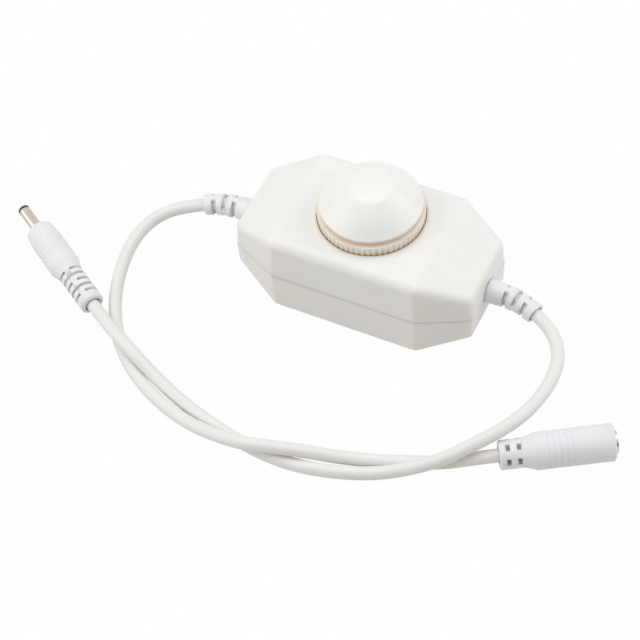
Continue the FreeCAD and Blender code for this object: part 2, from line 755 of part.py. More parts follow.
def polygon_path(points, name):
    """Return straight runs joined by the largest tangent arcs that they allow, as one wire."""
    edges = []
    start = points[0]
    tightest = None
    for before, corner, after in zip(points, points[1:], points[2:]):
        come = (corner - before).normalize()
        leave = (after - corner).normalize()
        half_turn = come.getAngle(leave) / 2
        trim = 0.45 * min((corner - before).Length, (after - corner).Length)
        radius = trim / math.tan(half_turn)
        tightest = radius if tightest is None else min(tightest, radius)
        enter = corner - come * trim
        depart = corner + leave * trim
        inward = (leave - come).normalize()
        middle = corner + inward * (radius / math.cos(half_turn) - radius)
        edges.append(Part.LineSegment(start, enter).toShape())
        edges.append(Part.Arc(enter, middle, depart).toShape())
        start = depart
    edges.append(Part.LineSegment(start, points[-1]).toShape())
    wire = Part.Wire(edges)
    print(f"{name}: {wire.Length:.1f} mm long, tightest radius {tightest:.1f} mm")
    return wire


def tube(name, points, radius):
    """Add a solid round tube along a route of points."""
    wire = polygon_path(points, name)
    ring = Part.Wire(Part.makeCircle(radius, points[0], points[1] - points[0]))
    shape = wire.makePipeShell([ring], True, False)
    expected = math.pi * radius ** 2 * wire.Length
    if abs(shape.Volume - expected) > expected * 0.01:
        raise RuntimeError(f"{name} has volume {shape.Volume:.1f}, not {expected:.1f}")
    item = doc.addObject("Part::Feature", f"{name}_tube")
    item.Shape = shape
    return node(item, name)


# Inner wires, from each strain relief's inner face down to the board
draft_lean = grommet_flange_radius.value * math.tan(math.radians(wall_draft.value))
flange_inset = wall.value + grommet_fit.value + draft_lean


def inner_wires(name, side):
    """Add the two wires that run from a strain relief to the board."""
    near = side * (case_length.value / 2 - flange_inset - grommet_flange_width.value)
    pad_x = side * (board_length.value / 2 - wire_radius.value * 2)
    bend_x = pad_x + side * wire_radius.value * 6
    bend_z = board_top.value + (parting_height.value - board_top.value) * 0.55
    for colour, end in (("red", 1), ("black", -1)):
        y = end * wire_spacing.value / 2
        route = [Vector(near, y, parting_height.value), Vector(bend_x, y, parting_height.value),
                 Vector(pad_x, y, bend_z), Vector(pad_x, y, board_top.value)]
        tube(f"{name}_wire_{colour}", route, wire_radius.value)


inner_wires("supply", -1)
inner_wires("load", 1)


# Strain reliefs: slotted sleeves, bent by the leads that pull on them
def relief_frame(along):
    """Return where the sleeve's bent axis is at a distance from the wall, and how it is turned there."""
    straight = grommet_straight.value
    length = grommet_length.value - straight
    tilt = math.radians(relief_tilt.value)
    aside = Vector(0, -math.cos(tilt), -math.sin(tilt))
    wall_face = Vector(case_length.value / 2, 0, parting_height.value)
    if along <= straight:
        return wall_face + X_AXIS * along, Rotation()
    radius = length / math.radians(relief_bend.value)
    angle = (along - straight) / radius
    onward = X_AXIS * (straight + radius * math.sin(angle))
    sideways = aside * (radius * (1 - math.cos(angle)))
    return wall_face + onward + sideways, Rotation(X_AXIS.cross(aside), math.degrees(angle))


def relief_ring(along):
    """Return the sleeve's outline at a distance from the wall."""
    point, turn = relief_frame(along)
    thin = (grommet_base_radius.value - grommet_end_radius.value) / grommet_length.value
    radius = grommet_base_radius.value - thin * along
    return Part.Wire(Part.makeCircle(radius, point, turn.multVec(X_AXIS)))


def relief_slot(along, upright):
    """Return the cutter for a ring of two slots, parted by bars above and below or at the sides."""
    point, turn = relief_frame(along)
    width = grommet_slot_width.value
    reach = grommet_flange_radius.value
    start = Vector(-width / 2, 0, 0)
    ring = Part.makeCylinder(reach, width, start, X_AXIS).cut(
        Part.makeCylinder(slot_core.value, width, start, X_AXIS))
    across, tall = (slot_bar.value, reach * 2) if upright else (reach * 2, slot_bar.value)
    cutter = ring.cut(Part.makeBox(width, across, tall, Vector(-width / 2, -across / 2, -tall / 2)))
    cutter.Placement = Placement(point, turn)
    return cutter


def strain_relief():
    """Return the right-hand strain relief's shape: inner flange, neck, bent sleeve and slots."""
    wall_face = Vector(case_length.value / 2, 0, parting_height.value)
    inner_face = wall_face - X_AXIS * flange_inset
    flange = grommet_flange_width.value
    shape = Part.makeCylinder(grommet_flange_radius.value, flange, inner_face - X_AXIS * flange, X_AXIS)
    shape = shape.fuse(Part.makeCylinder(grommet_neck_radius.value, flange_inset + 1, inner_face, X_AXIS))
    rows = [grommet_slot_start.value + grommet_slot_pitch.value * row for row in range(3)]
    stations = [0, grommet_straight.value / 2, grommet_straight.value] + rows + [grommet_length.value]
    shape = shape.fuse(Part.makeLoft([relief_ring(along) for along in stations], True, False))
    for row, along in enumerate(rows):
        shape = shape.cut(relief_slot(along, row % 2 == 0))
    point, turn = relief_frame(grommet_length.value - recess_depth.value)
    radius = lead_radius.value + recess_gap.value
    shape = shape.cut(Part.makeCylinder(radius, recess_depth.value * 2, point, turn.multVec(X_AXIS)))
    return shape.removeSplitter()


relief_shape = strain_relief()
for relief_name, mirrored in (("relief_plug_side", False), ("relief_jack_side", True)):
    relief = doc.addObject("Part::Feature", f"{relief_name}_sleeve")
    relief.Shape = relief_shape.mirror(ORIGIN, X_AXIS) if mirrored else relief_shape
    node(relief, relief_name)


# Plug and jack are built along +X from the end of their tails and then laid on the floor
def lay(item, end, turn):
    """Lay a piece with the end of its tail at a point, turned about the vertical."""
    moved = doc.addObject("Part::Compound", f"{item.Name}_laid")
    moved.Links = [item]
    moved.Placement = Placement(end, Rotation(Z_AXIS, turn))
    return moved


def bar(name, radius, length, start):
    """Add a round bar along the plug's or the jack's axis."""
    return cylinder(name, radius, length, start, axis=X_AXIS)


def rolled(name, items, angle):
    """Add a group of cutters, turned about the plug's or the jack's axis."""
    item = group(name, items)
    item.Placement = Placement(ORIGIN, Rotation(X_AXIS, angle))
    return item


def ring_slot(name, x, width, reach, upright):
    """Add the cutter for a ring of two slots, parted by bars above and below or at the sides."""
    ring = cut(f"{name}_ring", bar(f"{name}_outer", reach, width, x), bar(f"{name}_core", slot_core, width, x))
    across, tall = (slot_bar, reach * 2) if upright else (reach * 2, slot_bar)
    return cut(name, ring, box(f"{name}_bars", width, across, tall, x, -across / 2, -tall / 2))


def grip_rings(start, radius):
    """Return the outline points of the shallow grip grooves round a moulded body."""
    points = []
    for ring in range(int(grip_ring_count.value)):
        x = start + grip_ring_pitch * ring
        points += [(x - grip_ring_width / 2, radius), (x, radius - grip_ring_depth),
                   (x + grip_ring_width / 2, radius)]
    return points


def tail_outline(radius, length):
    """Return the outline points of a tail, from the recess that its lead goes into, round its bevelled end."""
    recess_radius = lead_radius + recess_gap
    return [(recess_depth, 0), (recess_depth, recess_radius), (0, recess_radius), (0, radius - tail_bevel),
            (tail_bevel, radius), (length, radius)]


plug_end = Vector(plug_x.value, plug_y.value, plug_body_radius.value)
plug_shoulder = plug_tail_length + plug_cone_length
plug_face = plug_shoulder + plug_body_length
root_radius = barrel_radius - root_step
plug_rings = grip_rings(plug_shoulder + plug_ring_start, plug_body_radius)
plug_outline = tail_outline(plug_tail_radius, plug_tail_length)
plug_outline += [(plug_shoulder, plug_body_radius)] + plug_rings
plug_outline += [(plug_shoulder + plug_grip_length, plug_body_radius)]
nose_side = len(plug_outline)
plug_outline += [
    (plug_face - plug_nose_length, plug_nose_radius), (plug_face, plug_face_radius),
    (plug_face, root_radius + metal_fit), (plug_face - barrel_root, root_radius + metal_fit),
    (plug_face - barrel_root, 0)]
plug_turned = turned_body("plug_turned", plug_outline, "H_Axis", {nose_side: (plug_nose_round, -1)})
plug_slots = [ring_slot(f"plug_slot_{row + 1}", plug_slot_start + plug_slot_pitch * row, plug_slot_width,
                        jack_body_radius, row % 2 == 0) for row in range(5)]
plug_moulding = cut("plug_moulding", plug_turned, rolled("plug_slots", plug_slots, plug_roll.value))
barrel_start = plug_face - barrel_root
barrel_whole = barrel_root + barrel_length - tip_length
barrel_solid = join("barrel_solid", [
    bar("barrel_outside", barrel_radius, barrel_length - tip_length, plug_face),
    bar("barrel_root_bar", root_radius, barrel_root, barrel_start)])
barrel = cut("barrel_cut", barrel_solid,
             bar("barrel_inside", barrel_radius - barrel_wall, barrel_whole * 2, barrel_start))
tip_bore = bar("tip_bore", contact_radius + metal_fit, barrel_whole * 2, barrel_start)
tip_solid = join("tip_solid", [
    bar("tip_ring", barrel_radius, tip_length, barrel_start + barrel_whole),
    bar("tip_sleeve", barrel_radius - barrel_wall - metal_fit, barrel_whole, barrel_start)])
tip = cut("tip_cut", tip_solid, tip_bore)
contact_length = barrel_whole + tip_length / 2
contact_bar = bar("contact_outside", contact_radius, contact_length, barrel_start)
contact_hole = bar("contact_inside", contact_bore, contact_length, barrel_start + barrel_root / 2)
contact = cut("contact_cut", contact_bar, contact_hole)
for item, name in ((plug_moulding, "plug_body"), (barrel, "plug_barrel"), (tip, "plug_insulator"),
                   (contact, "plug_contact")):
    node(lay(item, plug_end, plug_turn.value), name)

jack_end = Vector(jack_x.value, jack_y.value, jack_body_radius.value)
jack_shoulder = jack_tail_length + jack_cone_length
jack_face = jack_shoulder + jack_body_length
socket_floor = jack_face - socket_depth
jack_rings = grip_rings(jack_shoulder + jack_ring_start, jack_body_radius)
jack_outline = tail_outline(jack_tail_radius, jack_tail_length)
jack_outline += [(jack_shoulder, jack_body_radius)] + jack_rings
jack_outline += [
    (jack_face - jack_nose_bevel, jack_body_radius), (jack_face, jack_body_radius - jack_nose_bevel),
    (jack_face, sleeve_radius + metal_fit), (socket_floor, sleeve_radius + metal_fit), (socket_floor, 0)]
jack_turned = turned_body("jack_turned", jack_outline, "H_Axis")
jack_windows = [box(f"jack_window_{row + 1}", jack_slot_width, jack_slot_half * 2, jack_body_radius,
                    jack_slot_start + jack_slot_pitch * row, -jack_slot_half, slot_core) for row in range(2)]
window_turn = 360 / jack_window_count.value
jack_slots = [rolled(f"jack_windows_{n + 1}", jack_windows, jack_roll.value + window_turn * n)
              for n in range(int(jack_window_count.value))]
jack_moulding = cut("jack_moulding", jack_turned, join("jack_slots", jack_slots))
sleeve_length = socket_depth + sleeve_stand
sleeve = cut("sleeve_cut", bar("sleeve_outside", sleeve_radius, sleeve_length, socket_floor),
             bar("sleeve_inside", sleeve_radius - sleeve_wall, sleeve_length * 2, socket_floor))
insert_radius = sleeve_radius - sleeve_wall - metal_fit
insert = cut("insert_cut", bar("insert_outside", insert_radius, socket_depth, socket_floor),
             join("insert_tools", [
                 bar("socket", socket_radius, socket_depth, socket_floor + socket_root),
                 bar("pin_hole", pin_radius + metal_fit, socket_depth, socket_floor)]))
pin = bar("pin_bar", pin_radius, socket_depth - pin_setback, socket_floor)
for item, name in ((jack_moulding, "jack_body"), (sleeve, "jack_sleeve"), (insert, "jack_insert"),
                   (pin, "jack_pin")):
    node(lay(item, jack_end, jack_turn.value), name)


# Leads, from the ends of the strain reliefs to the ends of the plug's and the jack's tails
def lead_route(side, middle, tail, turn):
    """Return a lead's route: out of its strain relief, along the floor and into a tail."""
    point, rotation = relief_frame(grommet_length.value - recess_depth.value)
    out = rotation.multVec(X_AXIS)
    start = Vector(point.x * side, point.y, point.z)
    heading = Vector(out.x * side, out.y, out.z)
    into = Rotation(Z_AXIS, turn).multVec(X_AXIS)
    first = start + heading * lead_out.value
    last = tail - into * lead_in.value
    return [start, first] + [Vector(*place) for place in middle] + [last, tail + into * recess_depth.value]


floor_z = lead_radius.value
over_z = lead_radius.value * 3 + lead_gap.value
jack_middle = [
    (-62.3, -7.0, 11.6), (-66.0, -11.4, 10.5), (-68.2, -17.2, 9.2), (-68.6, -24.6, 7.3),
    (-67.3, -32.8, 4.8), (-64.5, -40.4, 2.5), (-60.0, -47.4, floor_z), (-54.3, -54.0, floor_z),
    (-46.4, -60.2, floor_z), (-36.8, -65.2, floor_z), (-26.0, -68.7, 2.3), (-16.0, -70.9, 4.8),
    (-7.5, -71.4, over_z), (2.5, -68.8, over_z), (10.8, -65.6, 4.7), (19.0, -62.4, 2.4),
    (28.0, -59.4, floor_z), (37.5, -55.8, floor_z), (46.5, -52.4, 2.2)]
plug_middle = [
    (61.2, -7.4, 11.8), (63.9, -12.2, 11.2), (65.0, -18.0, 10.7), (64.6, -25.0, 10.3),
    (62.6, -33.5, 10.2), (58.4, -41.7, 10.2), (53.0, -48.8, 9.6), (47.2, -54.5, 7.3),
    (39.6, -58.9, 4.3), (30.4, -63.2, floor_z), (20.5, -67.0, floor_z), (9.8, -69.5, floor_z),
    (-1.0, -69.7, floor_z), (-11.5, -68.0, floor_z), (-22.5, -65.2, floor_z), (-32.5, -61.9, floor_z),
    (-42.0, -58.1, 3.0), (-50.5, -54.9, over_z), (-58.0, -51.0, over_z)]
tube("jack_lead", lead_route(-1, jack_middle, jack_end, jack_turn.value), lead_radius.value)
tube("plug_lead", lead_route(1, plug_middle, plug_end, plug_turn.value), lead_radius.value)

finish()
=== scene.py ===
"""Rotary cord dimmer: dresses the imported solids, lays the leads and sets a plain studio."""
import logging
import math
from dataclasses import dataclass, field
from enum import Enum

import bmesh
import bpy
from mathutils import Matrix, Vector


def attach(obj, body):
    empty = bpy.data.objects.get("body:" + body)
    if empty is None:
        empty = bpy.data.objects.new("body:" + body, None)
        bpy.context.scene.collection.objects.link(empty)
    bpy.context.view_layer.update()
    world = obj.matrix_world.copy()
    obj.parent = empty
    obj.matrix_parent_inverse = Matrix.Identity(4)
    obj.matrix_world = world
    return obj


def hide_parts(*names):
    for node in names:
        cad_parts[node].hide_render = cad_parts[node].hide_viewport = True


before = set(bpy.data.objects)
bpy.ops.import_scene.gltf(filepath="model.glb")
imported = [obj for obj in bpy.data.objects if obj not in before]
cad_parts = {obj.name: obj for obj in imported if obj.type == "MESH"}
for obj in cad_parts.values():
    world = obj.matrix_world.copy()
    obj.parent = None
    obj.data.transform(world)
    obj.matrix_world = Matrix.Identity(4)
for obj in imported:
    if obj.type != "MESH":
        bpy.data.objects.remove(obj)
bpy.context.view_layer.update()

MM = 0.001
IMAGE_PX = 640
SENSOR_MM = 36.0
MERGE_MM = 0.002
SAME_PLANE_DEG = 0.3
SHARP_DEG = 32.0
# Sockets of the Mix node that carry colours
MIX_FACTOR, MIX_A, MIX_B, MIX_RESULT = 0, 6, 7, 2
# The sRGB standard's curve
SRGB_KNEE, SRGB_SLOPE, SRGB_SHIFT, SRGB_POWER = 0.04045, 12.92, 0.055, 2.4
Point = tuple[float, float, float]
log = logging.getLogger("dimmer")


class Body(Enum):
    """The two bodies that pieces ride on."""

    CASE = "case"
    KNOB = "knob"


class Slot(Enum):
    """The record's material slots, listed beside the new pieces but not given to them."""

    CASE_SHELL = "case_shell"
    KNOB_PLASTIC = "knob_plastic"
    SOFT_VINYL = "soft_vinyl"
    LEAD_SHEATH = "lead_sheath"
    NICKEL = "nickel"
    DARK_INSULATOR = "dark_insulator"


def linear(hex_colour: str) -> tuple[float, float, float, float]:
    """Turn an sRGB colour into linear light.

    Args:
        hex_colour: colour written as "#RRGGBB".

    Returns:
        Linear red, green and blue, and an alpha of 1.
    """
    channels = [int(hex_colour[at:at + 2], 16) / 255 for at in (1, 3, 5)]
    red, green, blue = (
        c / SRGB_SLOPE if c <= SRGB_KNEE else ((c + SRGB_SHIFT) / (1 + SRGB_SHIFT)) ** SRGB_POWER
        for c in channels)
    return red, green, blue, 1.0


WHITE = linear("#FFFFFF")


def add_node(tree: bpy.types.NodeTree, kind: str, inputs: dict[str | int, object] | None = None,
             **settings: object) -> bpy.types.Node:
    """Add a node with its settings, and set or link its inputs.

    Args:
        tree: node tree that gets the node.
        kind: the node's type name.
        inputs: value or output socket for each input, by name or number.
        settings: the node's own properties.

    Returns:
        The new node.
    """
    node = tree.nodes.new(kind)
    for name, value in settings.items():
        setattr(node, name, value)
    for name, value in (inputs or {}).items():
        if isinstance(value, bpy.types.NodeSocket):
            tree.links.new(value, node.inputs[name])
        else:
            node.inputs[name].default_value = value
    return node


@dataclass(frozen=True)
class Finish:
    """A surface as it comes out of its process.

    Sizes are in millimetres on the real piece.
    """

    name: str
    colour: str
    shade: str
    patch_mm: float
    grain_mm: float
    grain_depth_mm: float
    roughness: tuple[float, float]
    ior: float = 1.5
    stretch: Point = (1.0, 1.0, 1.0)
    turn_deg: float = 0.0
    patch_detail: float = 3.0
    grain_detail: float = 2.0
    grain_strength: float = 0.5

    def material(self) -> bpy.types.Material:
        """Return the finish as a material, made once."""
        return bpy.data.materials.get(self.name) or self.build()

    def build(self) -> bpy.types.Material:
        """Make the material's nodes: patches of colour, uneven gloss and a fine grain.

        Returns:
            The new material.
        """
        material = bpy.data.materials.new(self.name)
        material.use_nodes = True
        tree = material.node_tree
        shader = tree.nodes["Principled BSDF"]
        coords = add_node(tree, "ShaderNodeTexCoord")
        laid = add_node(tree, "ShaderNodeMapping", {
            "Vector": coords.outputs["Object"], "Scale": self.stretch,
            "Rotation": (0, 0, math.radians(-self.turn_deg))})
        patches = add_node(tree, "ShaderNodeTexNoise", {
            "Vector": laid.outputs[0], "Scale": 1 / (self.patch_mm * MM),
            "Detail": self.patch_detail})
        grain = add_node(tree, "ShaderNodeTexNoise", {
            "Vector": laid.outputs[0], "Scale": 1 / (self.grain_mm * MM),
            "Detail": self.grain_detail})
        gloss = add_node(tree, "ShaderNodeMapRange", {
            "Value": grain.outputs[0], "To Min": self.roughness[0], "To Max": self.roughness[1]})
        bump = add_node(tree, "ShaderNodeBump", {
            "Height": grain.outputs[0], "Strength": self.grain_strength,
            "Distance": self.grain_depth_mm * MM})
        tree.links.new(self.colouring(tree, patches.outputs[0]), shader.inputs["Base Color"])
        tree.links.new(gloss.outputs[0], shader.inputs["Roughness"])
        tree.links.new(bump.outputs[0], shader.inputs["Normal"])
        shader.inputs["IOR"].default_value = self.ior
        self.set_shader(shader)
        return material

    def colouring(self, tree: bpy.types.NodeTree,
                  patches: bpy.types.NodeSocket) -> bpy.types.NodeSocket:
        """Mix the finish's two colours by the patches.

        Args:
            tree: the material's nodes.
            patches: noise from 0 to 1.

        Returns:
            The socket that carries the colour.
        """
        mix = add_node(tree, "ShaderNodeMix", {
            MIX_FACTOR: patches, MIX_A: linear(self.colour), MIX_B: linear(self.shade)},
            data_type="RGBA")
        return mix.outputs[MIX_RESULT]

    def set_shader(self, shader: bpy.types.Node) -> None:
        """Set what is the same all over the surface; a plain plastic has nothing more."""


@dataclass(frozen=True)
class MouldedPlastic(Finish):
    """Pale plastic that lets a little light in, with painted shade, warmer or darker, in its gaps.
    """

    glow: float = 0.0
    glow_mm: float = 1.0
    glow_reach: Point = (1.0, 0.8, 0.55)
    # Painted shade laid into narrow gaps: its colour, its reach and its samples
    gap_shade_colour: str = ""
    gap_shade_mm: float = 2.0
    gap_shade_samples: int = 8

    def colouring(self, tree: bpy.types.NodeTree,
                  patches: bpy.types.NodeSocket) -> bpy.types.NodeSocket:
        """Mix the two colours, then paint shade, warmer or darker, into narrow gaps by ambient
        occlusion.

        Args:
            tree: the material's nodes.
            patches: noise from 0 to 1.

        Returns:
            The socket that carries the colour.
        """
        plain = super().colouring(tree, patches)
        if not self.gap_shade_colour:
            return plain
        # Painted shade: where ambient occlusion finds surfaces close by, the colour turns to the
        # gap shade colour
        gap_occlusion = add_node(tree, "ShaderNodeAmbientOcclusion", {"Distance": self.gap_shade_mm * MM},
                        samples=self.gap_shade_samples)
        mix = add_node(tree, "ShaderNodeMix", {
            MIX_FACTOR: gap_occlusion.outputs["AO"], MIX_A: linear(self.gap_shade_colour), MIX_B: plain},
            data_type="RGBA")
        return mix.outputs[MIX_RESULT]

    def set_shader(self, shader: bpy.types.Node) -> None:
        """Let light through the surface."""
        shader.inputs["Subsurface Weight"].default_value = self.glow
        shader.inputs["Subsurface Radius"].default_value = self.glow_reach
        shader.inputs["Subsurface Scale"].default_value = self.glow_mm * MM


@dataclass(frozen=True)
class PlatedMetal(Finish):
    """Metal with the fine lines that turning or rolling leaves."""

    def set_shader(self, shader: bpy.types.Node) -> None:
        """Make the surface metal."""
        shader.inputs["Metallic"].default_value = 1.0


# The plastics' real grain is too fine to show, so it is drawn about half a millimetre wide

# Injection-moulded ABS, warm white: an even satin with a soft mottle, and a warm beige painted
# shade in its gaps
CASE_ABS = MouldedPlastic(
    "moulded_abs_case", "#F4F3F0", "#F1F0EC", patch_mm=9.0, grain_mm=0.5, grain_depth_mm=0.006,
    roughness=(0.38, 0.5), ior=1.53, glow=0.5, glow_mm=2.4, gap_shade_colour="#E8C795", gap_shade_mm=1.4)
# The same ABS from a polished tool: the dome shines a little more than the case; a warm beige
# painted shade in its gaps
KNOB_ABS = MouldedPlastic(
    "polished_abs_knob", "#F8F6F2", "#F5F3EF", patch_mm=7.0, grain_mm=0.6, grain_depth_mm=0.003,
    roughness=(0.26, 0.34), ior=1.53, glow=0.5, glow_mm=2.8, gap_shade_colour="#E9C594", gap_shade_mm=2.6)
# Soft PVC moulded over the lead: a cooler white, dull, with faint flow marks, and a grey painted
# shade in its slots
SOFT_PVC = MouldedPlastic(
    "overmoulded_soft_pvc", "#EEEFF1", "#EAEBEE", patch_mm=4.0, grain_mm=0.45, grain_depth_mm=0.008,
    roughness=(0.42, 0.55), ior=1.52, glow=0.15, glow_mm=0.8, gap_shade_colour="#A8AAAD", gap_shade_mm=1.0)
# Extruded PVC sheath: a neutral white with a soft sheen
LEAD_PVC = MouldedPlastic(
    "extruded_pvc_sheath", "#EFEEEB", "#EBEAE6", patch_mm=5.0, grain_mm=0.4, grain_depth_mm=0.006,
    roughness=(0.36, 0.46), ior=1.52, glow=0.06, glow_mm=0.8)
# Extruded PVC of a red wire: an even deep red with a soft sheen
RED_PVC = Finish(
    "extruded_pvc_red", "#B3261E", "#A6201A", patch_mm=3.0, grain_mm=0.3, grain_depth_mm=0.005,
    roughness=(0.35, 0.45), ior=1.52)
# Extruded PVC of a black wire: nearly black with a soft sheen
BLACK_PVC = Finish(
    "extruded_pvc_black", "#1D1D1F", "#242426", patch_mm=3.0, grain_mm=0.3, grain_depth_mm=0.005,
    roughness=(0.35, 0.45), ior=1.52)
# Nickel over turned brass: a slightly warm grey mirror with fine lines round it
NICKEL = PlatedMetal(
    "nickel_plated_brass", "#CFC8BC", "#C2BAAC", patch_mm=1.5, grain_mm=0.16, grain_depth_mm=0.002,
    roughness=(0.14, 0.24), stretch=(1.0, 0.15, 0.15), turn_deg=147.0)
# Turned aluminium: a pale grey metal with fine lines round its axis
SHAFT_ALLOY = PlatedMetal(
    "turned_aluminium", "#C8C9CB", "#BDBEC1", patch_mm=2.0, grain_mm=0.2, grain_depth_mm=0.003,
    roughness=(0.25, 0.35), stretch=(0.15, 0.15, 1.0))
# Zinc on steel: a bluish grey metal, duller and more clouded than nickel
ZINC_STEEL = PlatedMetal(
    "zinc_plated_steel", "#B9BBBD", "#A9ACB0", patch_mm=1.5, grain_mm=0.3, grain_depth_mm=0.003,
    roughness=(0.28, 0.42))
# Glass-filled PBT, black: dull, with a faint paler mottle from the filler
BLACK_PBT = Finish(
    "moulded_pbt_black", "#141414", "#1E1E1F", patch_mm=1.2, grain_mm=0.2, grain_depth_mm=0.006,
    roughness=(0.4, 0.55), ior=1.55)
# Woven glass board under solder mask: a glossy green that the weave makes uneven
GREEN_BOARD = Finish(
    "fr4_green_mask", "#1F5A33", "#276A3C", patch_mm=1.2, grain_mm=0.4, grain_depth_mm=0.01,
    roughness=(0.28, 0.4), ior=1.55)
# Phenolic paper of the resistance track: a dull brown with the fibres' uneven tone
PAPER_BOARD = Finish(
    "phenolic_paper", "#7A5230", "#6A4526", patch_mm=1.5, grain_mm=0.3, grain_depth_mm=0.01,
    roughness=(0.45, 0.6), ior=1.55)
# Uncoated card of the studio: a dull mid grey
GREY_CARD = Finish(
    "grey_card", "#B9B7B3", "#B9B7B3", patch_mm=40.0, grain_mm=3.0, grain_depth_mm=0.1,
    roughness=(0.9, 1.0))


def merged_copy(node: str, name: str, flat_faces: bool = False) -> bpy.types.Object:
    """Copy a CAD node's mesh, merge it and shade its round faces smooth.

    Args:
        node: CAD node to copy.
        name: name of the new piece.
        flat_faces: keep the large faces flat beside their rounded edges.

    Returns:
        The new piece, in place.
    """
    mesh = bpy.data.meshes.new(name)
    shape = bmesh.new()
    shape.from_mesh(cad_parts[node].data)
    bmesh.ops.remove_doubles(shape, verts=shape.verts, dist=MERGE_MM * MM)
    bmesh.ops.dissolve_limit(shape, angle_limit=math.radians(SAME_PLANE_DEG), verts=shape.verts,
                             edges=shape.edges)
    for face in shape.faces:
        face.smooth = True
    shape.to_mesh(mesh)
    shape.free()
    mesh.set_sharp_from_angle(angle=math.radians(SHARP_DEG))
    piece = bpy.data.objects.new(name, mesh)
    bpy.context.scene.collection.objects.link(piece)
    if flat_faces:
        piece.modifiers.new("even_normals", "WEIGHTED_NORMAL").keep_sharp = True
    return piece


def fit_out(piece: bpy.types.Object, finish: Finish, body: Body,
            node: str) -> bpy.types.Object:
    """Give a piece its finish and body, and hide the CAD node that it stands for.

    Args:
        piece: the new piece.
        finish: its finish.
        body: body that it rides on.
        node: CAD node that it replaces.

    Returns:
        The same piece.
    """
    piece.data.materials.clear()
    piece.data.materials.append(finish.material())
    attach(piece, body.value)
    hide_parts(node)
    log.info("%s: %s, on the %s", piece.name, finish.name, body.value)
    return piece


def dress_node(node: str, finish: Finish) -> bpy.types.Object:
    """Give a CAD node that stays as it is a better material.

    Args:
        node: CAD node.
        finish: its finish.

    Returns:
        The node's object.
    """
    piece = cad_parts[node]
    if not piece.material_slots:
        piece.data.materials.append(finish.material())
    for slot in piece.material_slots:
        slot.material = finish.material()
    log.info("%s: %s", node, finish.name)
    return piece


@dataclass
class FacetedCase:
    """The two halves of the case and what is hidden in them."""

    halves: dict[str, str] = field(default_factory=lambda: {
        "upper_case": "upper_shell", "lower_case": "lower_shell"})
    hidden: dict[str, Finish] = field(default_factory=lambda: {
        "case_screws": ZINC_STEEL, "board_screws": ZINC_STEEL, "circuit_board": GREEN_BOARD,
        "transistor": BLACK_PBT, "timer_chip": BLACK_PBT, "capacitor": BLACK_PBT,
        "diode": BLACK_PBT, "resistors": BLACK_PBT, "supply_wire_red": RED_PVC,
        "load_wire_red": RED_PVC, "supply_wire_black": BLACK_PVC, "load_wire_black": BLACK_PVC,
        "pot_bushing": SHAFT_ALLOY, "pot_can": ZINC_STEEL, "pot_track": PAPER_BOARD,
        "pot_nut": ZINC_STEEL, "pot_washer": ZINC_STEEL, "pot_terminals": NICKEL})

    def build(self) -> None:
        """Make both halves."""
        for node, name in self.halves.items():
            piece = merged_copy(node, name, flat_faces=True)
            fit_out(piece, CASE_ABS, Body.CASE, node)

    def dress(self) -> None:
        """Give the hidden pieces their finishes."""
        for node, finish in self.hidden.items():
            dress_node(node, finish)


